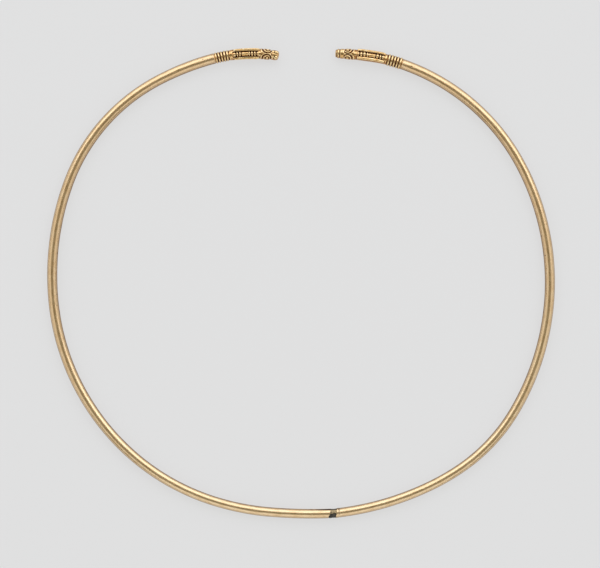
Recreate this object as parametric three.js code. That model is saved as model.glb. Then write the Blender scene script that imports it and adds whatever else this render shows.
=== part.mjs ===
// A slim gold torc, or neck ring, lying flat: a tube of sheet gold bent by hand into a ring, broken once at
// the back and mended there, with a cast terminal on each end. A terminal is a ribbed sleeve, a long panel
// with a ribbed bar between two rails, and an animal's head.
// Millimetres, +Z up. The origin is under the middle of the ring's outline, on the surface that the ring
// lies on, and +Y runs towards the opening between the two heads.

import * as THREE from "three";

const { degToRad, smoothstep, lerp } = THREE.MathUtils;

// The break at the back, from which both arms of the ring are measured
const BREAK = { x: 12.3, y: -86.1 };
const BREAK_WIDTH = 2.4; // along the ring, between the two torn ends
const BREAK_SLANT = degToRad(13); // the tear runs a little askew to the tube
const MEND_SINK = 0.12; // how far the fill lies below the tube's surface, and how much deeper at its waist
const MEND_WAIST = 0.1;
const JOINT_GAP = 0.1; // clearance between neighbouring pieces

// The tube
const TUBE_BACK = 3.52; // diameter for some way to each side of the break
const TUBE_SIDE = 3.76; // diameter along the sides
const TUBE_END = 3.92; // diameter where the terminals are fitted
const THIN_UNTIL = 40; // distances from the break at which the diameter changes
const SIDE_FROM = 95;
const SWELL_LENGTH = 40; // the last stretch, over which the tube swells towards its terminal
const TUBE_SIDES = 16;
const TUBE_STEP = 5.5; // along the ring, between two sections

// The two arms, each a chain of tangent arcs from the break to the tip of its animal's nose, as
// [radius, degrees turned]. The last length of each is its terminal.
const LONG_ARM = {
  heading: 182.5,
  turn: -1,
  arcs: [[187.5, 7.5], [95, 14], [85, 24.5], [88, 40], [100.5, 26.5], [71, 42], [99.5, 13], [56.5, 24.7]],
  terminal: 23.9,
};
const SHORT_ARM = {
  heading: 6,
  turn: 1,
  arcs: [
    [110, 19.5], [89.5, 8.5], [67.5, 25.5], [95.5, 24], [93.5, 34.5], [79, 37], [87, 5.5], [64.5, 12.5],
    [126.5, 5.2],
  ],
  terminal: 25.2,
};

// A terminal, measured along its own length from the joint with the tube, and round it from straight up
const TERMINAL_SIDES = 24;
const TERMINAL_LENGTH = 24.8; // each one is stretched or shortened a little to its own length
const GROOVES = 6; // round the sleeve
const GROOVE_PITCH = 1.09;
const GROOVE_WIDTH = 0.42;
const GROOVE_DEPTH = 0.26;
const RIB_HEIGHT = 1.84; // half the sleeve's height at a rib, which is a little less than half its width
const SLEEVE_LENGTH = GROOVES * GROOVE_PITCH - GROOVE_WIDTH;
const PANEL = { start: 6.8, middle: 11.8, end: 16.9, fade: 0.9 }; // channels deepen over the fade
const BAR = { halfWidth: degToRad(20), drop: 0.16 }; // between the rails, and a little lower
const CHANNEL = { middle: degToRad(33), reach: degToRad(17), depth: 0.52 };
const BEAD = { halfLength: 0.26, slope: 0.12, height: 0.14 }; // the ribs across the bar
const BEADS = [8.65, 9.7, 13.35, 14.4, 15.5]; // where their middles lie
const HEAD_START = 17.1;
const EYE = { along: 20.5, round: degToRad(61), reach: 0.5, height: 0.16, squeeze: 1.85 };
const EYE_GROOVE = { away: 0.8, reach: 0.35, depth: 0.14 };
const EYE_RIDGE = { away: 1.2, reach: 0.3, height: 0.1 };
const MUZZLE_START = 21.8;
const MOUTH = { round: degToRad(105), reach: degToRad(14), depth: 0.14 };
const NOSTRIL = { along: 23.6, round: degToRad(28), reach: 0.6, height: 0.14 };
const WRINKLES = [23.25, 24.25]; // grooves over the snout
const WRINKLE = { halfLength: 0.12, depth: 0.16, reach: degToRad(80) };
// Each nose reaches a few tenths past the end of its arm's arcs.
const LEFT = {
  length: 24.2,
  sleeve: 2.08, // half width
  panelRoll: degToRad(-6),
  headRoll: degToRad(5),
  nostrils: true,
  wrinkles: [],
};
const RIGHT = {
  length: 25.4,
  sleeve: 2.22,
  panelRoll: degToRad(-16),
  headRoll: degToRad(5),
  nostrils: false,
  wrinkles: WRINKLES,
};

// Half width and half height of a terminal past its sleeve, at some distances along it
const OUTLINE = [
  [SLEEVE_LENGTH, 1.84, 1.74],
  [PANEL.start, 1.96, 1.84],
  [PANEL.middle, 2.05, 1.88],
  [PANEL.end, 1.94, 1.86],
  [18.6, 1.9, 1.9],
  [EYE.along, 1.88, 1.84],
  [MUZZLE_START, 1.78, 1.6],
  [23.5, 1.76, 1.45],
  [24.45, 1.36, 1.12],
  [TERMINAL_LENGTH, 0.66, 0.58],
];

const gold = () =>
  new THREE.MeshStandardMaterial({ name: "gold", color: 0xd9b679, metalness: 1, roughness: 0.32 });
const fill = () =>
  new THREE.MeshStandardMaterial({ name: "fill", color: 0x5d5342, metalness: 0.4, roughness: 0.75 });

// Linear reading of a table of rows [distance, value, value, ...]
function readTable(table, distance, column) {
  const next = table.findIndex((row) => row[0] >= distance);
  if (next < 0) return table.at(-1)[column];
  if (next === 0) return table[0][column];
  const [a, b] = [table[next - 1], table[next]];
  return lerp(a[column], b[column], (distance - a[0]) / (b[0] - a[0]));
}

// Where an arm's tube meets its terminal
const jointOf = ({ arcs, terminal }) =>
  arcs.reduce((sum, [radius, turned]) => sum + radius * degToRad(turned), 0) - terminal;

// The point and heading at a distance along an arm's centre line, which runs on straight past its end
function pointAlong({ heading, turn, arcs }, distance) {
  let here = { x: BREAK.x, y: BREAK.y, heading: degToRad(heading) };
  let left = distance;
  for (const [radius, turned] of arcs) {
    const step = Math.min(left, radius * degToRad(turned));
    if (step <= 0) break;
    const next = here.heading + (turn * step) / radius;
    here = {
      x: here.x + turn * radius * (Math.sin(next) - Math.sin(here.heading)),
      y: here.y - turn * radius * (Math.cos(next) - Math.cos(here.heading)),
      heading: next,
    };
    left -= step;
  }
  return {
    x: here.x + left * Math.cos(here.heading),
    y: here.y + left * Math.sin(here.heading),
    heading: here.heading,
  };
}

// Moves a straight rod's vertices onto an arm's centre line. The rod lies along X, and +Y is on the left
// of the arm's heading.
function bend(geometry, arm) {
  const place = geometry.getAttribute("position");
  for (let i = 0; i < place.count; i++) {
    const { x, y, heading } = pointAlong(arm, place.getX(i));
    const across = place.getY(i);
    place.setXY(i, x - across * Math.sin(heading), y + across * Math.cos(heading));
  }
  return geometry;
}

// A closed rod along X with a section at each distance. radiusAt(distance, angle) gives its surface, with
// the angle measured from straight up towards +Y, and heightAt(distance) lifts each section's middle.
function rod(distances, sides, radiusAt, heightAt) {
  const [first, last] = [distances[0], distances.at(-1)];
  const profile = [
    new THREE.Vector2(0, first),
    ...distances.map((distance) => new THREE.Vector2(1, distance)),
    new THREE.Vector2(0, last),
  ];
  const geometry = new THREE.LatheGeometry(profile, sides, Math.PI / sides);
  const place = geometry.getAttribute("position");
  for (let i = 0; i < place.count; i++) {
    const [side, along, up] = [place.getX(i), place.getY(i), place.getZ(i)];
    const radius = radiusAt(along, Math.atan2(-side, up));
    place.setXYZ(i, along, -side * radius, up * radius + heightAt(along));
  }
  return geometry;
}

// Shifts the end sections at the given distances so that they lie askew, as a tear does
function slantEnds(geometry, distances) {
  const place = geometry.getAttribute("position");
  for (let i = 0; i < place.count; i++) {
    if (distances.some((distance) => Math.abs(place.getX(i) - distance) < 1e-4))
      place.setX(i, place.getX(i) + place.getY(i) * Math.tan(BREAK_SLANT));
  }
  return geometry;
}

function evenly(from, to, step) {
  const count = Math.ceil((to - from) / step);
  return Array.from({ length: count + 1 }, (_, i) => lerp(from, to, i / count));
}

// A round section's middle stands this high when its lowest facet lies on the ground
const restHeight = (radius) => radius * Math.cos(Math.PI / TUBE_SIDES);

function tubeRadius(distance, armLength) {
  const side = lerp(TUBE_BACK, TUBE_SIDE, smoothstep(distance, THIN_UNTIL, SIDE_FROM));
  return lerp(side, TUBE_END, smoothstep(distance, armLength - SWELL_LENGTH, armLength)) / 2;
}

function tubeArm(name, arm) {
  const length = jointOf(arm);
  const start = BREAK_WIDTH / 2;
  const radius = (distance) => tubeRadius(distance, length);
  const straight = rod(evenly(start, length - JOINT_GAP, TUBE_STEP), TUBE_SIDES, radius, (distance) =>
    restHeight(radius(distance)),
  );
  const mesh = new THREE.Mesh(bend(slantEnds(straight, [start]), arm), gold());
  mesh.name = name;
  return mesh;
}

// The lump of fill that joins the torn ends, a little thinner than the tube and waisted
function breakMend() {
  const half = BREAK_WIDTH / 2 - JOINT_GAP;
  const endRadius = TUBE_BACK / 2 - MEND_SINK;
  const radius = (distance) => endRadius - MEND_WAIST * Math.cos((Math.PI * distance) / (2 * half));
  const straight = rod(evenly(-half, half, half / 2), TUBE_SIDES, radius, () => restHeight(TUBE_BACK / 2));
  const mesh = new THREE.Mesh(slantEnds(straight, [-half, half]), fill());
  mesh.position.set(BREAK.x, BREAK.y, 0);
  mesh.rotation.z = degToRad((LONG_ARM.heading - 180 + SHORT_ARM.heading) / 2);
  mesh.name = "break_mend";
  return mesh;
}

// A bump that falls smoothly from 1 in its middle to 0 at its reach
const bump = (offset, reach) => 1 - smoothstep(Math.abs(offset), 0, reach);

const near = (places, along, reach) => places.some((place) => Math.abs(along - place) <= reach);

// How far the panel's two channels, and the ribbed bar between them, lie below the terminal's round outline
function panelDepth(along, round) {
  const inset = Math.min(along - PANEL.start, PANEL.end - along);
  const fade = smoothstep(inset, 0, PANEL.fade);
  if (round > BAR.halfWidth) return fade * CHANNEL.depth * bump(round - CHANNEL.middle, CHANNEL.reach);
  const bead = near(BEADS, along, BEAD.halfLength + 0.02) ? BEAD.height : 0;
  return fade * BAR.drop - bead;
}

// The same for an animal's head, whose eyes, ridges and nostrils stand out and so count below zero
function headDepth(along, round, design) {
  const fromEye = Math.hypot(along - EYE.along, (round - EYE.round) * EYE.squeeze);
  let depth = EYE_GROOVE.depth * bump(fromEye - EYE_GROOVE.away, EYE_GROOVE.reach);
  depth -= EYE.height * bump(fromEye, EYE.reach);
  depth -= EYE_RIDGE.height * bump(fromEye - EYE_RIDGE.away, EYE_RIDGE.reach);
  if (along > MUZZLE_START) depth += MOUTH.depth * bump(round - MOUTH.round, MOUTH.reach);
  if (near(design.wrinkles, along, WRINKLE.halfLength) && round < WRINKLE.reach) depth += WRINKLE.depth;
  const fromNostril = Math.hypot(along - NOSTRIL.along, round - NOSTRIL.round);
  if (design.nostrils) depth -= NOSTRIL.height * bump(fromNostril, NOSTRIL.reach);
  return depth;
}

// The surface of an oval at an angle from straight up, from its half width and half height
const ovalRadius = (angle, width, height) => 1 / Math.hypot(Math.sin(angle) / width, Math.cos(angle) / height);

function sleeveRadius(along, angle, width) {
  const fromGroove = Math.abs((along % GROOVE_PITCH) - GROOVE_WIDTH / 2);
  const depth = fromGroove <= GROOVE_WIDTH / 4 + 0.01 ? GROOVE_DEPTH : 0;
  return ovalRadius(angle, width - depth, RIB_HEIGHT - depth);
}

// The terminals are twisted a little: the panels are turned one way about their length, the heads the other
function terminalRadius(along, angle, design) {
  if (along <= SLEEVE_LENGTH + 0.01) return sleeveRadius(along, angle, design.sleeve);
  const roll = lerp(design.panelRoll, design.headRoll, smoothstep(along, PANEL.end - PANEL.fade, EYE.along));
  const fromTop = angle - roll;
  const round = Math.abs(fromTop);
  const oval = ovalRadius(fromTop, readTable(OUTLINE, along, 1), readTable(OUTLINE, along, 2));
  if (along >= HEAD_START) return oval - headDepth(along, round, design);
  return along >= PANEL.start ? oval - panelDepth(along, round) : oval;
}

// Where a terminal's sections lie: each groove has a flat floor, and each bead a flat top
function terminalSections() {
  const grooves = Array.from({ length: GROOVES }, (_, i) => i * GROOVE_PITCH);
  const sleeve = grooves.flatMap((start) => [0, 0.25, 0.75, 1].map((part) => start + part * GROOVE_WIDTH));
  const { halfLength, slope } = BEAD;
  const across = [-halfLength - slope, -halfLength, halfLength, halfLength + slope];
  const beads = BEADS.flatMap((bead) => across.map((step) => bead + step));
  const panel = [PANEL.start, PANEL.start + PANEL.fade, PANEL.middle, PANEL.end, ...beads];
  const head = evenly(HEAD_START, MUZZLE_START, 0.49);
  const edge = 2 * WRINKLE.halfLength;
  const wrinkles = WRINKLES.flatMap((wrinkle) => [wrinkle - edge, wrinkle, wrinkle + edge]);
  return [...sleeve, ...panel, ...head, 22.3, ...wrinkles, 24.5, TERMINAL_LENGTH].sort((a, b) => a - b);
}

function terminal(name, arm, design) {
  const straight = rod(
    terminalSections(),
    TERMINAL_SIDES,
    (along, angle) => terminalRadius(along, angle, design),
    () => restHeight(TUBE_END / 2),
  );
  straight.scale(design.length / TERMINAL_LENGTH, 1, 1).translate(jointOf(arm) + JOINT_GAP, 0, 0);
  const mesh = new THREE.Mesh(bend(straight, arm), gold());
  mesh.name = name;
  return mesh;
}

const torc = new THREE.Group();
torc.add(
  tubeArm("long_arm", LONG_ARM),
  tubeArm("short_arm", SHORT_ARM),
  breakMend(),
  terminal("left_terminal", LONG_ARM, LEFT),
  terminal("right_terminal", SHORT_ARM, RIGHT),
);

// Sets the origin under the middle of the outline, on the ground
const outline = new THREE.Box3().setFromObject(torc, true);
const middle = outline.getCenter(new THREE.Vector3());
torc.position.set(-middle.x, -middle.y, -outline.min.z);

export default torc;
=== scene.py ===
# %% [markdown]
# # A gold torc
# A torc is a stiff neck ring with an opening at the front. This one is a slim tube of sheet gold, bent by
# hand into a ring, with a cast terminal on each end: a ribbed sleeve, a long panel with a ribbed bar between
# two rails, and an animal's head. The tube broke once at the back and was mended there.
#
# The frame holds the plain solids at their true size and place. Every piece below is built to stand in for
# one of them, so each one takes its place from the frame.

# %% Load the frame
import math
import bpy
import numpy as np
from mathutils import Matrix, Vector, noise


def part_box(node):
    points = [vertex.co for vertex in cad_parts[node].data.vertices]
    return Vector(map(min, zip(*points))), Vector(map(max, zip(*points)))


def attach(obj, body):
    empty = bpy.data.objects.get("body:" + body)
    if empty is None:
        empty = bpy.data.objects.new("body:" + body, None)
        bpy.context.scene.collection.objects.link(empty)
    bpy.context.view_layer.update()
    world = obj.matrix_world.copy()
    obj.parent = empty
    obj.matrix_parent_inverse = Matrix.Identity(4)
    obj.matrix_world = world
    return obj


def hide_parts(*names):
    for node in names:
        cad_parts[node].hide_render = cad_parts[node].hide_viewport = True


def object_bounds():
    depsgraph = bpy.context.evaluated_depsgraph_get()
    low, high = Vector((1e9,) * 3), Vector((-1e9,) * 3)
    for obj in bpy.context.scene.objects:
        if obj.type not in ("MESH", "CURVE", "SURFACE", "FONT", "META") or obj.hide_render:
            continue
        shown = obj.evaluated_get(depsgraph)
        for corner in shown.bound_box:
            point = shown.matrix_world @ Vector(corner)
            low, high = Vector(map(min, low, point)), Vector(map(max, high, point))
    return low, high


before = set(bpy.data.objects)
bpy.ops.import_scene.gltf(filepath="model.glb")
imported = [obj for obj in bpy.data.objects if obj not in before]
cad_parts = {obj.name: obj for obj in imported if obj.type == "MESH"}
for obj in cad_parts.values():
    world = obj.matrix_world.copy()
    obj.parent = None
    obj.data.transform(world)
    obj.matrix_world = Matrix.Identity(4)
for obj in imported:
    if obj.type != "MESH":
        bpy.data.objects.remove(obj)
CAD_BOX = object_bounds()
print("the ring is %.1f x %.1f x %.1f mm" % tuple(1000 * (CAD_BOX[1] - CAD_BOX[0])))

# %% [markdown]
# ## Camera and light
# The ring lies flat and the camera looks straight down on it, with the opening at the top of the view. A
# long lens keeps the tube's sides from showing.
#
# Polished gold shows what is round it. Large soft boxes on four sides give it bright bands along both
# shoulders, the widest and brightest from beyond the opening. A smaller box in front of that one gives
# its band a brighter core. A dim, warm sky leaves a dark line along the crest. The floor is a sheet on a
# light table: it glows evenly, so that hardly any shadow shows on it.

# %% Camera
VIEW_WIDTH = 0.2253  # how much of the floor the camera sees across
VIEW_MIDDLE = (-0.0004, -0.00025)
LENS = 150
SENSOR = 36


def add_camera():
    distance = VIEW_WIDTH * LENS / SENSOR
    bpy.ops.object.camera_add(location=(*VIEW_MIDDLE, distance), rotation=(0, 0, 0))
    camera = bpy.context.object
    camera.data.sensor_width = SENSOR
    camera.data.lens = LENS
    camera.data.clip_start = 0.01
    bpy.context.scene.camera = camera
    print("the camera is %.2f m above the floor" % distance)


add_camera()

# %% Soft boxes, sky and floor
FLOOR_GREY = (0.137, 0.142, 0.157)
FLOOR_GLOW = 0.62
SKY = (0.215, 0.19, 0.118)
# direction round the ring in degrees, angle above the floor, width, height and brightness
SOFT_BOXES = [
    (85, 38, 4.2, 1.9, 1.25),
    (85, 38, 1.5, 0.6, 1.15),
    (270, 36, 2.2, 1.6, 0.70),
    (0, 36, 2.3, 1.6, 0.57),
    (180, 36, 2.3, 1.6, 0.58),
]
BOX_DISTANCE = 1.7


def add_soft_box(around, above, width, height, brightness):
    turn, lift = math.radians(around), math.radians(above)
    towards = Vector((math.cos(turn) * math.cos(lift), math.sin(turn) * math.cos(lift), math.sin(lift)))
    bpy.ops.object.light_add(type="AREA", location=towards * BOX_DISTANCE)
    box = bpy.context.object
    box.rotation_euler = towards.to_track_quat("Z", "Y").to_euler()
    box.data.shape = "RECTANGLE"
    box.data.size = width
    box.data.size_y = height
    box.data.energy = brightness * math.pi * width * height
    box.visible_camera = False


def add_sky():
    world = bpy.data.worlds.new("dim_sky")
    world.use_nodes = True
    background = world.node_tree.nodes["Background"]
    background.inputs["Color"].default_value = (*SKY, 1)
    background.inputs["Strength"].default_value = 1
    bpy.context.scene.world = world


def add_floor():
    bpy.ops.mesh.primitive_plane_add(size=12, location=(0, 0, CAD_BOX[0].z))
    floor = bpy.context.object
    floor.name = "floor"
    paper = bpy.data.materials.new("pale_paper")
    paper.use_nodes = True
    shader = paper.node_tree.nodes["Principled BSDF"]
    shader.inputs["Base Color"].default_value = (*FLOOR_GREY, 1)
    shader.inputs["Roughness"].default_value = 0.9
    shader.inputs["Specular IOR Level"].default_value = 0.1
    shader.inputs["Emission Color"].default_value = (1, 1, 1, 1)
    shader.inputs["Emission Strength"].default_value = FLOOR_GLOW
    floor.data.materials.append(paper)


for soft_box in SOFT_BOXES:
    add_soft_box(*soft_box)
add_sky()
add_floor()
bpy.context.scene.view_settings.view_transform = "Standard"
print(len(SOFT_BOXES), "soft boxes")

# %% [markdown]
# ## Working in millimetres
# The finest grooves are under half a millimetre wide, so the pieces are modelled at one unit to the
# millimetre and made small at the end. Each is first made straight, lying along X with its top up. A curve
# modifier then bends it along its arm of the ring.
#
# The straight shape is kept on each point as an attribute, so that scratches can follow the gold round the
# ring.

# %% Small helpers
MM = 0.001
ROOT = "root"


def pick(*objects):
    """Selects these objects and nothing else, the first one active."""
    bpy.ops.object.select_all(action="DESELECT")
    for item in objects:
        item.select_set(True)
    bpy.context.view_layer.objects.active = objects[0]
    return objects[0]


def keep_shape():
    """Applies the active object's own place, turn and scale to its mesh."""
    bpy.ops.object.transform_apply(location=True, rotation=True, scale=True)
    return bpy.context.object


def join(name, pieces):
    whole = pick(*pieces)
    if len(pieces) > 1:
        bpy.ops.object.join()
    whole.name = name
    whole.data.name = name
    return whole


def apply_modifier(piece, kind, **settings):
    pick(piece)
    modifier = piece.modifiers.new(kind.lower(), kind)
    for key, value in settings.items():
        setattr(modifier, key, value)
    bpy.ops.object.modifier_apply(modifier=modifier.name)


def points(piece):
    co = np.empty(3 * len(piece.data.vertices), np.float32)
    piece.data.vertices.foreach_get("co", co)
    return co.reshape(-1, 3).astype(float)


def move_points(piece, co):
    piece.data.vertices.foreach_set("co", co.astype(np.float32).ravel())
    piece.data.update()


def remember(piece, name, values):
    """Keeps one number, or one vector, on each point of the mesh for its material to read."""
    vector = np.ndim(values) == 2
    kept = piece.data.attributes.new(name, "FLOAT_VECTOR" if vector else "FLOAT", "POINT")
    kept.data.foreach_set("vector" if vector else "value", np.asarray(values, np.float32).ravel())


# %% [markdown]
# ## The ring's two arms
# The ring was bent by hand, so it isn't a true circle. Each arm is a chain of arcs that run smoothly into
# each other, from the break at the back to the tip of its animal's nose. A Bezier knot where two arcs meet
# follows an arc closely if its handles are 4/3 tan(angle / 4) of the radius long.
#
# The knots' radius makes the tube swell a little towards its terminal, because the curve modifier scales
# what it bends by it.

# %% The arms' routes
# each arm's first heading, which way it turns, its arcs as (radius, degrees), and its terminal's length
LONG_ARM = dict(
    heading=182.5, turn=-1, terminal=23.9,
    arcs=[(187.5, 7.5), (95, 14), (85, 24.5), (88, 40), (100.5, 26.5), (71, 42), (99.5, 13), (56.5, 24.7)],
)
SHORT_ARM = dict(
    heading=6, turn=1, terminal=25.2,
    arcs=[(110, 19.5), (89.5, 8.5), (67.5, 25.5), (95.5, 24), (93.5, 34.5), (79, 37), (87, 5.5), (64.5, 12.5),
          (126.5, 5.2)],
)
BACK_RADIUS, SIDE_RADIUS, END_RADIUS = 1.76, 1.88, 1.96
THIN_UNTIL, SIDE_FROM, SWELL_LENGTH = 40, 95, 40
BREAK_LOW, BREAK_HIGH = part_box("break_mend")
BREAK = (BREAK_LOW + BREAK_HIGH) / 2 / MM
BREAK.z = 0


def smooth(value, low, high):
    share = min(1, max(0, (value - low) / (high - low)))
    return share * share * (3 - 2 * share)


def joint_of(arm):
    return sum(radius * math.radians(turned) for radius, turned in arm["arcs"]) - arm["terminal"]


def tube_radius(along, length):
    side = BACK_RADIUS + (SIDE_RADIUS - BACK_RADIUS) * smooth(along, THIN_UNTIL, SIDE_FROM)
    return side + (END_RADIUS - side) * smooth(along, length - SWELL_LENGTH, length)


def split_arcs(arm, longest=12):
    """The arm's arcs cut into equal shares of at most so many degrees."""
    for radius, turned in arm["arcs"]:
        count = math.ceil(turned / longest)
        for _ in range(count):
            yield radius, math.radians(turned / count)


def add_route(name, arm):
    knots = [(BREAK.copy(), math.radians(arm["heading"]), 0)]
    along = 0
    handles = []
    for radius, angle in split_arcs(arm):
        place, heading, _ = knots[-1]
        after = heading + arm["turn"] * angle
        step = Vector((math.sin(after) - math.sin(heading), math.cos(heading) - math.cos(after), 0))
        along += radius * angle
        knots.append((place + arm["turn"] * radius * step, after, along))
        handles.append(4 / 3 * math.tan(angle / 4) * radius)
    curve = bpy.data.curves.new(name, "CURVE")
    curve.dimensions = "3D"
    curve.twist_mode = "Z_UP"
    curve.resolution_u = 24
    spline = curve.splines.new("BEZIER")
    spline.bezier_points.add(len(knots) - 1)
    length = joint_of(arm)
    for i, (knot, (place, heading, along)) in enumerate(zip(spline.bezier_points, knots)):
        way = Vector((math.cos(heading), math.sin(heading), 0))
        knot.handle_left_type = knot.handle_right_type = "FREE"
        knot.co = place
        knot.handle_left = place - way * handles[max(i - 1, 0)]
        knot.handle_right = place + way * handles[min(i, len(handles) - 1)]
        knot.radius = tube_radius(along, length)
    route = bpy.data.objects.new(name, curve)
    bpy.context.scene.collection.objects.link(route)
    print("%s: %d knots, tube %.1f mm long" % (name, len(knots), length))
    return route


LONG_ROUTE = add_route("long_route", LONG_ARM)
SHORT_ROUTE = add_route("short_route", SHORT_ARM)


# %% Bend a straight piece and bring it to size
def bend(piece, route, swell):
    """Bends a piece along its arm. With swell its sides are in tube radii and follow the tube's."""
    route.data.use_radius = swell
    apply_modifier(piece, "CURVE", object=route, deform_axis="POS_X")


def finish_piece(piece, node, material):
    """Brings a piece from millimetres to metres, and lets it stand in for its plain solid."""
    pick(piece)
    piece.scale = (MM, MM, MM)
    keep_shape()
    bpy.ops.object.shade_smooth()
    piece.data.materials.clear()
    piece.data.materials.append(material)
    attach(piece, ROOT)
    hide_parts(node)
    low, high = points(piece).min(0) / MM, points(piece).max(0) / MM
    cad_low, cad_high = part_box(node)
    print(piece.name, len(piece.data.polygons), "faces; box", low.round(2), high.round(2))
    print("   the plain solid's box", [round(v / MM, 2) for v in (*cad_low, *cad_high)])


# %% [markdown]
# ## The tube
# One short ring of faces is made and repeated along X by an array modifier, which is quicker and more even
# than hundreds of extrusions. The rings lie closer together for the first few millimetres, where the torn
# end needs finer shape. Both ends are closed, since the tube is filled at the break and runs into the
# terminal at the other end.

# %% One arm of the tube, straight
TUBE_SIDES = 80
FINE_STEP, COARSE_STEP = 0.09, 0.25
FINE_UNTIL = 6
LONG_START, SHORT_START = 1.6, 1.05  # where each torn end is


def open_tube(start, end, step):
    """A tube of unit radius without ends, resting on the ground."""
    count = round((end - start) / step)
    step = (end - start) / count
    bpy.ops.mesh.primitive_circle_add(vertices=TUBE_SIDES, radius=1, fill_type="NOTHING")
    tube = bpy.context.object
    tube.rotation_euler = (0, math.pi / 2, 0)
    keep_shape()
    tube.location = (start, 0, 1)
    keep_shape()
    bpy.ops.object.mode_set(mode="EDIT")
    bpy.ops.mesh.select_all(action="SELECT")
    bpy.ops.mesh.extrude_region_move(TRANSFORM_OT_translate={"value": (step, 0, 0)})
    bpy.ops.object.mode_set(mode="OBJECT")
    apply_modifier(
        tube, "ARRAY", count=count, use_relative_offset=False, use_constant_offset=True,
        constant_offset_displace=(step, 0, 0), use_merge_vertices=True, merge_threshold=0.001,
    )
    return tube


def close_end(tube, end):
    """Fills the open end at a place along the tube, with a small rounded rim."""
    pick(tube)
    bpy.ops.object.mode_set(mode="EDIT")
    bpy.ops.mesh.select_mode(type="VERT")
    bpy.ops.mesh.select_all(action="DESELECT")
    bpy.ops.object.mode_set(mode="OBJECT")
    for vertex in tube.data.vertices:
        vertex.select = abs(vertex.co.x - end) < 0.01
    bpy.ops.object.mode_set(mode="EDIT")
    bpy.ops.mesh.edge_face_add()
    bpy.ops.mesh.inset(thickness=0.04, depth=0.02)
    bpy.ops.mesh.inset(thickness=0.05, depth=0)
    bpy.ops.object.mode_set(mode="OBJECT")


def straight_tube(name, start, end):
    tube = join(name, [open_tube(start, FINE_UNTIL, FINE_STEP), open_tube(FINE_UNTIL, end, COARSE_STEP)])
    bpy.ops.object.mode_set(mode="EDIT")
    bpy.ops.mesh.select_all(action="SELECT")
    bpy.ops.mesh.remove_doubles(threshold=0.005)
    bpy.ops.object.mode_set(mode="OBJECT")
    close_end(tube, start)
    close_end(tube, end)
    bpy.ops.object.mode_set(mode="EDIT")
    bpy.ops.mesh.select_all(action="SELECT")
    bpy.ops.mesh.normals_make_consistent(inside=False)
    bpy.ops.object.mode_set(mode="OBJECT")
    print(name, "has", len(tube.data.polygons), "faces")
    return tube


LONG_TUBE = straight_tube("long_arm_tube", LONG_START, joint_of(LONG_ARM))
SHORT_TUBE = straight_tube("short_arm_tube", SHORT_START, joint_of(SHORT_ARM))

# %% [markdown]
# ### Seam, pits and torn ends
# The tube is a strip of sheet gold rolled up along its length. Its seam runs along the ring's inner side,
# and has opened near the break on the long arm. Small pits lie along the seam and a few elsewhere.
#
# Sheet rolled and bent by hand is never quite true, so the surface also wavers by a few hundredths of a
# millimetre. That is enough to make the long highlights waver too.

# %% Wear the tube in
SEAM_ROUND = 76  # degrees from straight up, towards the ring's inner side
SEAM_WIDTH, SEAM_DEPTH = 0.045, 0.02
OPEN_SEAM = dict(length=7.8, width=0.13, depth=0.3, round=61, back_by=16)
# distance along the arm, degrees from straight up towards the inner side, size and depth in millimetres
LONG_PITS = [
    (165.2, 62, 0.24, 0.16), (149.6, 58, 0.22, 0.15), (145.4, 44, 0.2, 0.12), (147.2, 66, 0.15, 0.1),
    (67.6, -3, 0.2, 0.1), (262.8, -20, 0.22, 0.12), (196, 70, 0.18, 0.12), (110, 64, 0.16, 0.1),
]
SHORT_PITS = [
    (149, 62, 0.26, 0.17), (141.5, 46, 0.22, 0.14), (136.6, 46, 0.2, 0.13), (139, 60, 0.16, 0.1),
    (119.8, 72, 0.24, 0.15), (233.2, -2, 0.24, 0.13), (232.2, -15, 0.18, 0.1), (88, 66, 0.16, 0.1),
]
RIM = dict(width=0.95, height=0.025, groove=0.07, groove_width=0.17)
INNER_DARK_LINE = dict(round=math.radians(74), width=0.2, until=2.7)


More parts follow.
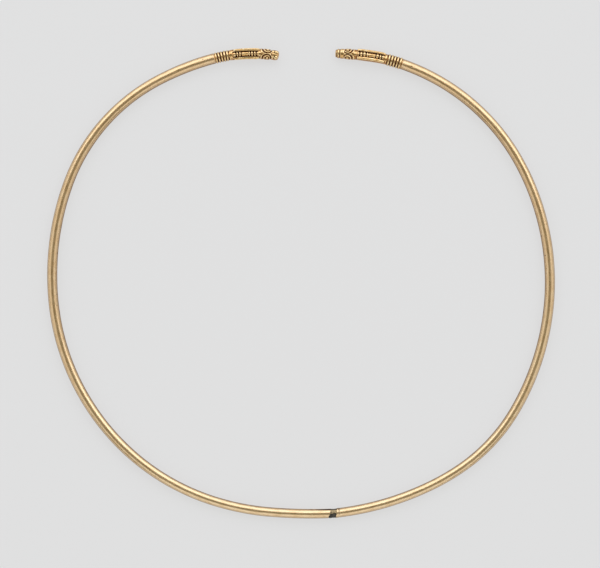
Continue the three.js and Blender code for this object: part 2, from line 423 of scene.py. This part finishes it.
def wear_tube(tube, inner, pits, open_seam, seed):
    """Moves the points a little. inner is +1 where the ring's inner side is on the left of the arm."""
    co = points(tube)
    remember(tube, "straight", co * (1, inner, 1))
    along = co[:, 0]
    angle = np.arctan2(co[:, 1] * inner, co[:, 2] - 1)
    moved = np.zeros(len(co))
    for i, (x, y, z) in enumerate(co):
        broad = noise.noise(Vector((x * 0.11 + seed, y * 0.7, z * 0.7)))
        fine = noise.noise(Vector((x * 0.6 + seed, y * 1.6, z * 1.6)))
        moved[i] = 0.011 * broad + 0.004 * fine
    dirt_and_shade = np.zeros(len(co))
    for distance, turned, size, depth in pits:
        away = np.hypot(along - distance, SIDE_RADIUS * (angle - math.radians(turned)))
        dent = np.exp(-((away / size) ** 2))
        moved -= dent * depth / SIDE_RADIUS
        dirt_and_shade = np.maximum(dirt_and_shade, np.exp(-((away / (size * 1.15)) ** 2)))
    seam_round = np.full(len(co), float(SEAM_ROUND))
    if open_seam:
        share = np.clip(along / OPEN_SEAM["back_by"], 0, 1)
        seam_round = OPEN_SEAM["round"] + (SEAM_ROUND - OPEN_SEAM["round"]) * share * share * (3 - 2 * share)
    from_seam = angle - np.radians(seam_round)
    moved -= SEAM_DEPTH * np.exp(-((from_seam / SEAM_WIDTH) ** 2))
    dirt_and_shade = np.maximum(dirt_and_shade, 0.3 * np.exp(-((from_seam / SEAM_WIDTH) ** 2)))
    if open_seam:
        opened = np.clip(1 - (along - LONG_START) / OPEN_SEAM["length"], 0, 1) ** 0.6
        slit = opened * np.exp(-((from_seam / OPEN_SEAM["width"]) ** 4))
        moved -= slit * OPEN_SEAM["depth"]
        # painted shade: the opened seam's dark inside, painted nearly black a little wider than the slit
        dirt_and_shade = np.maximum(dirt_and_shade, opened * np.exp(-(((from_seam - 0.07) / 0.23) ** 6)))
    else:
        moved += RIM["height"] * (along < SHORT_START + RIM["width"])
        from_rim = (along - SHORT_START - RIM["width"]) / RIM["groove_width"]
        line = np.exp(-(from_rim ** 2)) * (0.35 + 0.65 * (angle > -0.3))
        moved -= RIM["groove"] * line
        # a dark line painted along the inner side next to the break
        inner_dark_line_share = np.exp(-(((angle - INNER_DARK_LINE["round"]) / INNER_DARK_LINE["width"]) ** 4)) * (along < INNER_DARK_LINE["until"])
        dirt_and_shade = np.maximum(dirt_and_shade, np.maximum(line, inner_dark_line_share))
    co[:, 1] *= 1 + moved
    co[:, 2] = 1 + (co[:, 2] - 1) * (1 + moved)
    move_points(tube, co)
    remember(tube, "dirt_and_shade", dirt_and_shade)
    print(tube.name, "moved by up to %.3f of a radius" % abs(moved).max())


def tear_end(tube, start, slant, seed):
    """Sets the broken end askew and ragged."""
    co = points(tube)
    for i, (x, y, z) in enumerate(co):
        share = 1 - smooth(x, start, start + 1.8)
        if share > 0:
            ragged = noise.noise(Vector((seed, y * 2.2, z * 2.2)))
            ragged += 0.6 * noise.noise(Vector((seed, y * 7, z * 7)))
            co[i, 0] += share * (math.tan(math.radians(slant)) * y * BACK_RADIUS + 0.2 * ragged)
    move_points(tube, co)


wear_tube(LONG_TUBE, -1, LONG_PITS, True, 3.1)
wear_tube(SHORT_TUBE, 1, SHORT_PITS, False, 47.7)
tear_end(LONG_TUBE, LONG_START, 17, 5.5)
tear_end(SHORT_TUBE, SHORT_START, 12, 9.2)

# %% [markdown]
# ## The terminals
# Each terminal was cast by lost wax and chased afterwards. It has a sleeve with six grooves round it, a long
# panel where a bar with small ribs lies in a trough between two rails, and an animal's head with nested
# ridges round its eyes.
#
# The parts of the wax model are made one by one, as simple round shapes along X. They overlap each other, so
# a voxel remesh can fuse them into one skin, and a little smoothing then gives the softness of a cast.

# %% Round shapes along a terminal
AXIS = 1.92  # height of a terminal's middle
ROUND_SIDES = 48


def spindle(stations, sides=ROUND_SIDES):
    """A closed body along X, through ovals given as (distance, half width, half height, middle height)."""
    x, width, height, middle = stations[0]
    bpy.ops.mesh.primitive_circle_add(vertices=sides, radius=1, fill_type="NGON", location=(x, 0, middle))
    body = bpy.context.object
    body.rotation_euler = (0, math.pi / 2, 0)
    body.scale = (height, width, 1)
    keep_shape()
    bpy.ops.object.mode_set(mode="EDIT")
    bpy.ops.mesh.select_all(action="SELECT")
    for next_x, next_width, next_height, next_middle in stations[1:]:
        step = (next_x - x, 0, next_middle - middle)
        bpy.ops.mesh.extrude_region_move(TRANSFORM_OT_translate={"value": step})
        growth = (1, next_width / width, next_height / height)
        bpy.ops.transform.resize(value=growth, center_override=(next_x, 0, next_middle))
        x, width, height, middle = next_x, next_width, next_height, next_middle
    bpy.ops.mesh.select_all(action="SELECT")
    bpy.ops.mesh.normals_make_consistent(inside=False)
    bpy.ops.object.mode_set(mode="OBJECT")
    return body


def drum(x, length, width, height, middle, edge=0.14, lean=0.0):
    """A short drum across the bar or the sleeve, with softened edges, leaning a little."""
    half = length / 2
    rib = spindle([
        (x - half, width - edge, height - edge, middle),
        (x - half + edge * 0.7, width, height, middle),
        (x + half - edge * 0.7, width, height, middle),
        (x + half, width - edge, height - edge, middle),
    ])
    bpy.ops.object.origin_set(type="ORIGIN_GEOMETRY")
    rib.rotation_euler = (0, 0, lean)
    return keep_shape()


def lump(place, size, turn=(0, 0, 0)):
    """A smooth oval lump."""
    bpy.ops.mesh.primitive_uv_sphere_add(segments=32, ring_count=20, location=place, rotation=turn)
    bpy.context.object.scale = size
    return keep_shape()


# %% [markdown]
# ### Sleeve, rails and bar
# The sleeve's ribs aren't quite square to it, since each was filed by hand. The bar starts as a trumpet that
# grows out of the sleeve. It carries two ribs, a slim baluster and three more ribs, and then widens into the
# animal's forehead.

# %% Sleeve
GROOVE_WIDTH, GROOVES = 0.42, 6
GROOVE_DEPTH = 0.3
RIB_HEIGHT = 1.89
BAR_TOP = AXIS + 1.72


def make_sleeve(rng, width, first, pitch):
    """The ribs between the grooves. first is the middle of the first groove."""
    core = (width - GROOVE_DEPTH, RIB_HEIGHT - GROOVE_DEPTH, AXIS)
    parts = [spindle([(0.02, *core), (6.4, *core)])]
    for i in range(GROOVES - 1):
        middle = first + pitch * (i + 0.5)
        length = pitch - GROOVE_WIDTH + rng.uniform(-0.05, 0.05)
        growth = rng.uniform(-0.03, 0.02)
        lean = rng.uniform(-0.03, 0.03)
        parts.append(drum(middle, length, width + growth, RIB_HEIGHT + growth, AXIS, 0.17, lean))
    return parts


# %% Body and trough
# half widths and half heights past the muzzle's start, measured from the eyes
MUZZLES = {
    "nostrils": [
        (1.1, 1.66, 1.46), (1.35, 1.66, 1.44), (1.75, 1.82, 1.52), (2.6, 1.86, 1.5), (3.3, 1.82, 1.42),
        (3.8, 1.64, 1.22), (4.08, 1.28, 0.92), (4.22, 0.74, 0.5),
    ],
    "wrinkles": [
        (1.0, 1.74, 1.5), (1.2, 1.74, 1.47), (1.55, 1.86, 1.56), (2.45, 1.85, 1.5), (2.66, 1.80, 1.44),
        (2.8, 1.60, 1.2), (3.02, 1.58, 1.16), (3.16, 1.76, 1.36), (3.6, 1.74, 1.32), (3.76, 1.66, 1.22),
        (3.9, 1.42, 0.94), (4.08, 1.38, 0.88), (4.2, 1.5, 1.0), (4.42, 1.3, 0.85), (4.54, 0.9, 0.6),
        (4.58, 0.5, 0.35),
    ],
}


def body_stations(collar, notch, eye, muzzle):
    """The terminal's round body past its sleeve, as ovals. It starts at the collar."""
    trunk = [
        (collar, 1.72, 1.62), (collar + 0.09, 1.92, 1.76), (6.7, 1.95, 1.81), (7.4, 1.97, 1.84),
        (9.5, 2.02, 1.86), (12, 2.05, 1.87), (14.5, 2.03, 1.87), (notch - 0.9, 1.98, 1.86),
        (notch - 0.3, 1.94, 1.84), (notch, 1.84, 1.74), (notch + 0.35, 1.88, 1.76), (eye - 2.1, 1.90, 1.75),
        (eye - 1.0, 1.88, 1.70), (eye + 0.2, 1.85, 1.66), (eye + 0.8, 1.78, 1.58),
    ]
    ahead = [(eye + forward, width, height) for forward, width, height in MUZZLES[muzzle]]
    return [(x, width, height, AXIS) for x, width, height in trunk + ahead]


def carve(body, cutter):
    apply_modifier(body, "BOOLEAN", operation="DIFFERENCE", solver="EXACT", object=cutter)
    bpy.data.objects.remove(cutter)


TROUGH = dict(start=6.7, half_width=1.16, floor=AXIS + 0.7)


def carve_trough(body, end):
    """Cuts the open channel between the rails."""
    length, height = end - TROUGH["start"], 3
    bpy.ops.mesh.primitive_cube_add(size=1)
    cutter = bpy.context.object
    cutter.scale = (length, 2 * TROUGH["half_width"], height)
    cutter.location = (TROUGH["start"] + length / 2, 0, TROUGH["floor"] + height / 2)
    keep_shape()
    apply_modifier(cutter, "BEVEL", width=0.6, segments=6, limit_method="ANGLE")
    carve(body, cutter)


# %% Bar and rails
RAIL = dict(side=1.56, up=AXIS + 1.04)
BAR_GAP = 0.42
BAR_RIB_RADIUS = 0.96


def make_bar(gaps):
    """The bar, whose top stays level. gaps are the six grooves between its ribs, the last at the forehead."""
    slim = 0.42
    forehead = gaps[5] + 0.2
    profile = [
        (5.4, 1.55), (6.1, 1.5), (6.6, 1.36), (7.0, 1.15), (7.4, 0.92), (gaps[0] - 0.3, 0.84),
        (gaps[0] - 0.18, slim),
        (gaps[2] + 0.06, slim), (gaps[2] + 0.24, 0.72), (gaps[2] + 0.8, 0.80), (11.7, 0.68), (12.3, 0.72),
        (gaps[3] - 1.0, 0.74), (gaps[3] - 0.8, slim), (gaps[5] + 0.1, slim),
        (forehead, 0.64), (forehead + 0.2, 0.90), (forehead + 0.6, 1.2), (forehead + 1.2, 1.5),
        (forehead + 2.0, 1.6),
    ]
    bar = spindle([(x, radius, radius, BAR_TOP - radius) for x, radius in profile])
    height = BAR_TOP + 0.1 - BAR_RIB_RADIUS
    leans = (0.10, -0.06, 0.04, 0.08, 0.08)
    edges = [gaps[0], gaps[1], gaps[2], gaps[3] - 0.95, gaps[3], gaps[4], gaps[5]]
    spans = [(edges[i], edges[i + 1]) for i in (0, 1, 3, 4, 5)]
    ribs = []
    for (start, end), lean in zip(spans, leans):
        length = end - start - BAR_GAP
        ribs.append(drum((start + end) / 2, length, BAR_RIB_RADIUS, BAR_RIB_RADIUS, height, 0.16, lean))
    return [bar, *ribs]


def make_rail(side, start, end):
    """One rounded rail along the trough, tapering at both ends."""
    shape = [(0, 0.1), (0.25, 0.32), (0.7, 0.45), (2.0, 0.5)]
    there = [(start + d, r) for d, r in shape]
    back = [(end - d * 0.6, r) for d, r in reversed(shape)]
    rail = spindle([(x, r, r, RAIL["up"]) for x, r in there + back], 24)
    rail.location.y = side * RAIL["side"]
    return keep_shape()


# %% [markdown]
# ### The animal's head
# The forehead swells out of the bar and runs into a long nose. On each side lies an eye, a small boss with
# two grooves round it and a ridge between them. Where the outer grooves of both eyes come close, they leave
# a narrow ridge down the nose. The left-hand animal has two nostrils, the right-hand one two grooves across
# its muzzle.
#
# The head's lumps are part of the model, and the ridges are chased into its skin afterwards. Each point moves
# in or out from the head's middle by how far it lies from an eye, in shares of the way to the outer groove.

# %% Lumps of the head
EYE_ROUND = math.radians(63)
GIRTH = 1.85  # what turns an angle round the head into a distance
# how far from an eye the outer groove passes above it, behind it and in front of it
EYE_GROOVES = {"nostrils": (1.62, 1.95, 1.35), "wrinkles": (1.72, 1.85, 1.75)}
# how the grooves fade out in front of the eyes, as distances
FADES = {"nostrils": (1.2, 2.2), "wrinkles": (0.5, 1.5)}
# share of the way to the outer groove, and the skin's height there
CHASING = [
    (0, 0.20), (0.1, 0.19), (0.2, 0.13), (0.28, -0.04), (0.37, -0.28), (0.50, -0.28), (0.59, -0.03),
    (0.67, 0.16), (0.74, 0.16), (0.83, -0.06), (0.91, -0.30), (1.06, -0.30), (1.15, -0.05), (1.25, 0.13),
    (1.33, 0.13), (1.55, 0),
]


def make_head(eye, design):
    parts = [
        lump((eye - 2.6, 0, AXIS + 1.1), (1.7, 1.15, 0.8)),
        lump((eye - 0.6, 0, AXIS + 1.3), (1.9, 0.4, 0.42)),
    ]
    for side in (1, -1):
        if design == "nostrils":
            nose = (eye + 3.15, side * 0.88, AXIS + 0.8)
            parts.append(lump(nose, (0.85, 0.74, 0.74), (0, 0, -side * 0.3)))
            parts.append(lump((eye + 2.0, side * 0.85, AXIS + 0.84), (0.6, 0.7, 0.66)))
    return parts


def carve_nostrils(body, eye):
    for side, forward, across in ((1, 2.6, 0.66), (-1, 2.75, 0.6)):
        nostril = (eye + forward, side * across, AXIS + 1.4)
        carve(body, lump(nostril, (0.2, 0.46, 0.6), (0, 0, side * 0.5)))


# %% Chase the ridges round the eyes
def chase_eyes(piece, eye, design, seed):
    co = points(piece)
    above, behind, ahead = EYE_GROOVES[design]
    shares, heights = zip(*CHASING)
    up = co[:, 2] - AXIS
    from_eye = co[:, 0] - eye
    lengthwise = from_eye / np.where(from_eye < 0, behind, ahead)
    raised = np.zeros(len(co))
    for side in (1, -1):
        turned = np.arctan2(side * co[:, 1], up)
        crosswise = GIRTH * (turned - EYE_ROUND) / above
        share = np.hypot(lengthwise, crosswise)
        near = np.nonzero((share < 1.6) & (turned > -0.02))[0]
        for i in near:
            wander = noise.noise(Vector((co[i, 0] * 0.9 + seed, co[i, 1] * 0.9, side)))
            raised[i] = np.interp(share[i] + 0.05 * wander, shares, heights)
    fade_from, fade_to = FADES[design]
    raised *= np.clip((fade_to - from_eye) / (fade_to - fade_from), 0, 1)
    growth = 1 + raised / np.maximum(np.hypot(co[:, 1], up), 0.5)
    co[:, 1] *= growth
    co[:, 2] = AXIS + up * growth
    move_points(piece, co)
    print(piece.name, "eyes chased by up to %.2f mm" % abs(raised).max())


# %% One terminal
VOXEL = 0.075


def roll_points(piece, start_roll, end_roll, first, last):
    """Turns the panel and the head about the terminal's axis, which twists what lies between them."""
    co = points(piece)
    for i, (x, y, z) in enumerate(co):
        angle = start_roll * smooth(x, 5.6, 7.0) + (end_roll - start_roll) * smooth(x, first, last)
        co[i, 1] = y * math.cos(angle) - (z - AXIS) * math.sin(angle)
        co[i, 2] = AXIS + y * math.sin(angle) + (z - AXIS) * math.cos(angle)
    move_points(piece, co)


def hollows(piece, rounds=60):
    """How far each point lies below its smoothed surroundings, in millimetres."""
    mesh = piece.data
    co = points(piece)
    edges = np.empty(2 * len(mesh.edges), np.int32)
    mesh.edges.foreach_get("vertices", edges)
    ends = np.concatenate([edges.reshape(-1, 2), edges.reshape(-1, 2)[:, ::-1]])
    degree = np.bincount(ends[:, 0], minlength=len(co))[:, None]
    blurred = co.copy()
    for _ in range(rounds):
        total = np.stack([np.bincount(ends[:, 0], blurred[ends[:, 1], k], len(co)) for k in range(3)], 1)
        blurred = 0.5 * blurred + 0.5 * total / degree
    normals = np.empty(3 * len(co), np.float32)
    mesh.vertices.foreach_get("normal", normals)
    return ((blurred - co) * normals.reshape(-1, 3)).sum(1)


def packed_dirt(co, gaps):
    """Dirt packed between the small ribs on the bar, as extra depth."""
    on_bar = (abs(co[:, 1]) < 1.1) & (co[:, 2] > AXIS + 0.7)
    dirt = np.zeros(len(co))
    for x in gaps:
        dirt += 0.1 * np.exp(-(((co[:, 0] - x) / 0.2) ** 4))
    return dirt * on_bar


def make_terminal(name, arm, eye, notch, gaps, rail_start, sleeve, design, rolls, seed):
    """sleeve is its half width, its first groove and its pitch. notch is where the panel meets the head."""
    rng = np.random.default_rng(seed)
    width, first, pitch = sleeve
    collar = first + (GROOVES - 1) * pitch + GROOVE_WIDTH / 2
    body = spindle(body_stations(collar, notch, eye, design))
    carve_trough(body, notch - 0.1)
    parts = [body, *make_sleeve(rng, width, first, pitch), *make_bar(gaps)]
    parts += [make_rail(side, rail_start, notch) for side in (1, -1)]
    parts += make_head(eye, design)
    whole = join(name, parts)
    apply_modifier(whole, "REMESH", mode="VOXEL", voxel_size=VOXEL)
    if design == "nostrils":
        carve_nostrils(whole, eye)
        apply_modifier(whole, "REMESH", mode="VOXEL", voxel_size=VOXEL)
    chase_eyes(whole, eye, design, seed)
    apply_modifier(whole, "SMOOTH", factor=0.5, iterations=2)
    depth = hollows(whole) + packed_dirt(points(whole), gaps)
    roll_points(whole, *rolls, gaps[5], eye)
    co = points(whole)
    remember(whole, "straight", co)
    remember(whole, "hollow", depth)
    print("depths below the surroundings", np.percentile(depth, (1, 10, 25, 50, 75, 90, 99)).round(3))
    co[:, 0] += joint_of(arm)
    move_points(whole, co)
    print(name, "has", len(whole.data.polygons), "faces")
    return whole


LEFT_TERMINAL = make_terminal(
    "left_terminal_cast", LONG_ARM, eye=20.05, notch=17.1, gaps=(8.2, 9.17, 10.17, 13.67, 14.76, 15.78),
    rail_start=7.2, sleeve=(2.1, 0.14, 1.062), design="nostrils",
    rolls=(math.radians(6), math.radians(-5)), seed=11,
)
RIGHT_TERMINAL = make_terminal(
    "right_terminal_cast", SHORT_ARM, eye=20.9, notch=17.4, gaps=(8.1, 9.05, 10.3, 13.97, 15.19, 16.35),
    rail_start=6.7, sleeve=(2.26, 0.3, 1.1), design="wrinkles",
    rolls=(math.radians(16), math.radians(-5)), seed=23,
)

# %% [markdown]
# ## The mend
# The two torn ends are held by a lump of fill or solder. It is as thick as the tube, rough and mottled, tan
# with flecks of gold on the inner side and dark grey on the outer one. A spindle is remeshed to an even
# skin, and its points are moved by noise at three sizes to roughen it.

# %% Mend
MEND_RADIUS = 1.7
MEND_WAIST = 0.06
MEND_SLANT = math.radians(12)  # it follows the torn ends
MEND_VOXEL = 0.06
# how closely each size of bump is set, per millimetre, and its height
BUMPS = [(1.3, 0.07), (3.1, 0.05), (8, 0.025)]


def make_mend():
    middle = BACK_RADIUS
    mend = spindle([
        (-1.9, 1.2, 1.2, middle), (-1.75, 1.5, 1.5, middle), (-1.2, MEND_RADIUS, MEND_RADIUS, middle),
        (1.2, MEND_RADIUS, MEND_RADIUS, middle), (1.75, 1.5, 1.5, middle), (1.9, 1.2, 1.2, middle),
    ])
    apply_modifier(mend, "REMESH", mode="VOXEL", voxel_size=MEND_VOXEL)
    mend.name = mend.data.name = "mend_fill_lump"
    co = points(mend)
    remember(mend, "straight", co)
    for i, (x, y, z) in enumerate(co):
        bumps = sum(height * noise.noise(Vector((x, y, z)) * closeness) for closeness, height in BUMPS)
        waist = MEND_WAIST * math.cos(min(1, abs(x) / 1.2) * math.pi / 2)
        growth = 1 + (bumps - waist) / MEND_RADIUS
        co[i, 1] = y * growth
        co[i, 2] = middle + (z - middle) * growth
        co[i, 0] = x + math.tan(MEND_SLANT) * y
    move_points(mend, co)
    remember(mend, "hollow", hollows(mend, 10))
    pick(mend)
    mend.rotation_euler.z = math.radians((LONG_ARM["heading"] - 180 + SHORT_ARM["heading"]) / 2)
    mend.location = BREAK
    keep_shape()
    return mend


MEND = make_mend()

# %% [markdown]
# ## Materials
# All three are metal or fill seen close up, so their patterns are set in millimetres on the straight shape
# kept on each point.

# %% Material helpers


def new_material(name):
    material = bpy.data.materials.new(name)
    material.use_nodes = True
    return material, material.node_tree, material.node_tree.nodes["Principled BSDF"]


def add_node(tree, kind, inputs=None, **settings):
    """Adds a shader node. An input is either a plain value or another node's output."""
    made = tree.nodes.new("ShaderNode" + kind)
    for key, value in settings.items():
        setattr(made, key, value)
    for key, value in (inputs or {}).items():
        if isinstance(value, bpy.types.NodeSocket):
            tree.links.new(value, made.inputs[key])
        else:
            made.inputs[key].default_value = value
    return made


def kept(tree, name, output="Fac"):
    return add_node(tree, "Attribute", attribute_name=name).outputs[output]


def pattern(tree, stretch, detail=5, roughness=0.6):
    """Noise on the straight shape, with its own scale along and across the piece, per millimetre."""
    scaled = add_node(tree, "Mapping", {"Vector": kept(tree, "straight", "Vector"), "Scale": stretch})
    return add_node(
        tree, "TexNoise", {"Vector": scaled.outputs[0], "Scale": 1, "Detail": detail, "Roughness": roughness}
    ).outputs["Fac"]


def spread(tree, value, low, high, to_low=0.0, to_high=1.0):
    """Takes values from low to high smoothly to the range from to_low to to_high."""
    ends = {"Value": value, 1: low, 2: high, 3: to_low, 4: to_high}
    return add_node(tree, "MapRange", ends, interpolation_type="SMOOTHSTEP").outputs[0]


def colours(tree, value, stops):
    ramp = add_node(tree, "ValToRGB", {"Fac": value})
    first, *rest = stops
    ramp.color_ramp.elements[0].position = first[0]
    ramp.color_ramp.elements[0].color = (*first[1], 1)
    ramp.color_ramp.elements[1].position = rest[-1][0]
    ramp.color_ramp.elements[1].color = (*rest[-1][1], 1)
    for place, colour in rest[:-1]:
        ramp.color_ramp.elements.new(place).color = (*colour, 1)
    return ramp.outputs["Color"]


def over(tree, share, under, top):
    """Mixes one colour over another."""
    mix = add_node(tree, "Mix", {"Factor": share}, data_type="RGBA")
    for socket, value in ((mix.inputs[6], under), (mix.inputs[7], top)):
        if isinstance(value, bpy.types.NodeSocket):
            tree.links.new(value, socket)
        else:
            socket.default_value = (*value, 1)
    return mix.outputs[2]


def mix_values(tree, share, under, top):
    mix = add_node(tree, "Mix", {"Factor": share}, data_type="FLOAT")
    for socket, value in ((mix.inputs[2], under), (mix.inputs[3], top)):
        if isinstance(value, bpy.types.NodeSocket):
            tree.links.new(value, socket)
        else:
            socket.default_value = value
    return mix.outputs[0]


def times(tree, a, b):
    return add_node(tree, "Math", {0: a, 1: b}, operation="MULTIPLY").outputs[0]


# %% [markdown]
# ### Gold of the tube
# Soft old gold, worn to a satin sheen on top. Fine streaks run lengthwise, from drawing the strip and from
# centuries of rubbing. The colour is a little paler or redder from place to place, and palest at the back.
# The flanks are painted a darker brown as their shade. Dark dirt sits in the seam and the pits, and the
# opened seam is painted nearly black as the shade inside it.

# %% Gold of the tube
GOLDS = [(0.25, (0.74, 0.52, 0.29)), (0.5, (0.90, 0.69, 0.45)), (0.75, (0.95, 0.79, 0.56))]
PAINTED_FLANK_SHADE = (0.21, 0.10, 0.032)
TARNISH = (0.70, 0.44, 0.22)
DARK_STREAK = (0.42, 0.27, 0.13)
SPECK = (0.30, 0.17, 0.08)
DIRT_AND_SHADE = (0.042, 0.020, 0.009)


def tube_gold():
    material, tree, shader = new_material("tube_gold")
    mottle = pattern(tree, (0.35, 1.6, 1.6), 6, 0.65)
    streaks = pattern(tree, (0.22, 9, 9), 4, 0.7)
    specks = pattern(tree, (2.6, 4.5, 4.5), 3, 0.6)
    base = colours(tree, mottle, GOLDS)
    dark_streak = spread(tree, streaks, 0.60, 0.78, 0, 0.35)
    base = over(tree, dark_streak, base, DARK_STREAK)
    place = add_node(tree, "SeparateXYZ", {0: kept(tree, "straight", "Vector")})
    along, height = place.outputs[0], place.outputs[2]
    base = over(tree, spread(tree, along, 60, 160, 0, 0.24), base, TARNISH)
    # painted shade: the tube's flanks darkened brown
    flank_shade = times(tree, spread(tree, height, 1.74, 1.3), spread(tree, height, 0.5, 1.05, 0.45, 1.0))
    flank_shade = times(tree, flank_shade, spread(tree, mottle, 0.25, 0.65, 0.6, 1.0))
    base = over(tree, flank_shade, base, PAINTED_FLANK_SHADE)
    speck = spread(tree, specks, 0.68, 0.78, 0, 0.5)
    base = over(tree, speck, base, SPECK)
    # dirt in the seam and the pits, and painted shade in the opened seam
    dirt_and_shade_share = spread(tree, kept(tree, "dirt_and_shade"), 0.25, 0.85)
    base = over(tree, dirt_and_shade_share, base, DIRT_AND_SHADE)
    tree.links.new(base, shader.inputs["Base Color"])
    tree.links.new(mix_values(tree, dirt_and_shade_share, 1.0, 0.1), shader.inputs["Metallic"])
    satin = spread(tree, streaks, 0.3, 0.7, 0.24, 0.36)
    tree.links.new(mix_values(tree, dirt_and_shade_share, satin, 0.75), shader.inputs["Roughness"])
    relief = add_node(tree, "Bump", {"Strength": 0.35, "Distance": 0.00004, "Height": streaks})
    relief = add_node(
        tree, "Bump", {"Strength": 0.25, "Distance": 0.00004, "Height": specks, "Normal": relief.outputs[0]}
    )
    tree.links.new(relief.outputs[0], shader.inputs["Normal"])
    return material


# %% [markdown]
# ### Gold of the castings
# The same gold, with a painted highlight where it stands out, painted brown shade down its sides, and nearly
# black where dirt has stayed in the grooves. The painted highlight and the dirt follow the depth of each
# point below its surroundings, which was kept on the mesh. Old dirt is dull, so its shine is set low, which
# makes no difference to bare metal.

# %% Gold of the castings
CAST_GOLDS = [(0.28, (0.55, 0.30, 0.11)), (0.5, (0.90, 0.61, 0.29)), (0.66, (1.0, 0.93, 0.64))]
# brown for dirt in shallow hollows, and for painted shade down the sides
BROWN_DIRT_AND_SHADE = (0.36, 0.13, 0.038)
PAINTED_HIGHLIGHT = (1.0, 0.78, 0.44)
CAST_DIRT = (0.078, 0.021, 0.007)
DIRT_SHINE = 0.2


def cast_gold():
    material, tree, shader = new_material("cast_gold")
    mottle = pattern(tree, (1.1, 1.3, 1.3), 6, 0.6)
    grain = pattern(tree, (6, 6, 6), 4, 0.6)
    base = colours(tree, mottle, CAST_GOLDS)
    hollow = kept(tree, "hollow")
    uneven = add_node(tree, "Math", {0: mottle, 1: 0.06, 2: hollow}, operation="MULTIPLY_ADD").outputs[0]
    # painted highlight: lighter gold where a point stands out above its surroundings
    base = over(tree, spread(tree, uneven, -0.01, -0.06, 0, 0.8), base, PAINTED_HIGHLIGHT)
    brown = spread(tree, uneven, -0.005, 0.042, 0, 0.95)
    black = spread(tree, uneven, 0.03, 0.065)
    base = over(tree, brown, base, BROWN_DIRT_AND_SHADE)
    height = add_node(tree, "SeparateXYZ", {0: kept(tree, "straight", "Vector")}).outputs[2]
    # painted shade: the castings made browner down their sides
    flank_shade = times(tree, spread(tree, height, 3.05, 2.3, 0, 0.6), spread(tree, height, 0.9, 2.0, 0.4, 1.0))
    base = over(tree, flank_shade, base, BROWN_DIRT_AND_SHADE)
    base = over(tree, black, base, CAST_DIRT)
    tree.links.new(base, shader.inputs["Base Color"])
    tree.links.new(mix_values(tree, black, 1.0, 0.15), shader.inputs["Metallic"])
    shader.inputs["Specular IOR Level"].default_value = DIRT_SHINE
    satin = spread(tree, grain, 0.3, 0.7, 0.08, 0.22)
    tree.links.new(mix_values(tree, brown, satin, 0.6), shader.inputs["Roughness"])
    relief = add_node(tree, "Bump", {"Strength": 0.3, "Distance": 0.00004, "Height": grain})
    tree.links.new(relief.outputs[0], shader.inputs["Normal"])
    return material


# %% [markdown]
# ### Fill of the mend
# The lump is tan metal on the ring's inner side and nearly black on its outer side, with a dark, wavy streak
# where the two meet. Its inner edge and its pits are darker.

# %% Fill of the mend
TANS = [
    (0.34, (0.05, 0.04, 0.03)), (0.46, (0.24, 0.18, 0.10)), (0.56, (0.46, 0.36, 0.21)),
    (0.66, (0.66, 0.54, 0.35)),
]
GREYS = [(0.38, (0.012, 0.011, 0.010)), (0.52, (0.045, 0.041, 0.038)), (0.66, (0.20, 0.185, 0.17))]
FILL_DARK = (0.018, 0.014, 0.010)
FILL_PIT = (0.012, 0.010, 0.008)


def fill():
    material, tree, shader = new_material("mend_fill")
    flecks = pattern(tree, (1.5, 1.5, 1.5), 6, 0.75)
    fine = pattern(tree, (8, 8, 8), 3, 0.6)
    tan = colours(tree, flecks, TANS)
    grey = colours(tree, flecks, GREYS)
    place = add_node(tree, "SeparateXYZ", {0: kept(tree, "straight", "Vector")}).outputs[1]
    wander = add_node(tree, "Math", {0: flecks, 1: 0.9, 2: place}, operation="MULTIPLY_ADD").outputs[0]
    base = over(tree, spread(tree, wander, 0.25, 0.7), grey, tan)
    streak = add_node(tree, "Math", {0: wander, 1: 0.42}, operation="SUBTRACT").outputs[0]
    streak = add_node(tree, "Math", {0: streak}, operation="ABSOLUTE").outputs[0]
    base = over(tree, spread(tree, streak, 0.22, 0.05, 0, 0.85), base, FILL_DARK)
    # darker along the lump's inner edge
    base = over(tree, spread(tree, place, 1.2, 1.5, 0, 0.9), base, FILL_DARK)
    base = over(tree, spread(tree, kept(tree, "hollow"), 0.01, 0.05), base, FILL_PIT)
    tree.links.new(base, shader.inputs["Base Color"])
    tree.links.new(spread(tree, flecks, 0.5, 0.7, 0.1, 0.8), shader.inputs["Metallic"])
    tree.links.new(spread(tree, fine, 0.3, 0.7, 0.4, 0.7), shader.inputs["Roughness"])
    relief = add_node(tree, "Bump", {"Strength": 0.6, "Distance": 0.00008, "Height": fine})
    tree.links.new(relief.outputs[0], shader.inputs["Normal"])
    return material


# %% Bend the pieces and bring them to size
TUBE_GOLD = tube_gold()
CAST_GOLD = cast_gold()
bend(LONG_TUBE, LONG_ROUTE, True)
bend(SHORT_TUBE, SHORT_ROUTE, True)
bend(LEFT_TERMINAL, LONG_ROUTE, False)
bend(RIGHT_TERMINAL, SHORT_ROUTE, False)
finish_piece(LONG_TUBE, "long_arm", TUBE_GOLD)
finish_piece(SHORT_TUBE, "short_arm", TUBE_GOLD)
finish_piece(MEND, "break_mend", fill())
finish_piece(LEFT_TERMINAL, "left_terminal", CAST_GOLD)
finish_piece(RIGHT_TERMINAL, "right_terminal", CAST_GOLD)
for route in (LONG_ROUTE, SHORT_ROUTE):
    bpy.data.objects.remove(route)
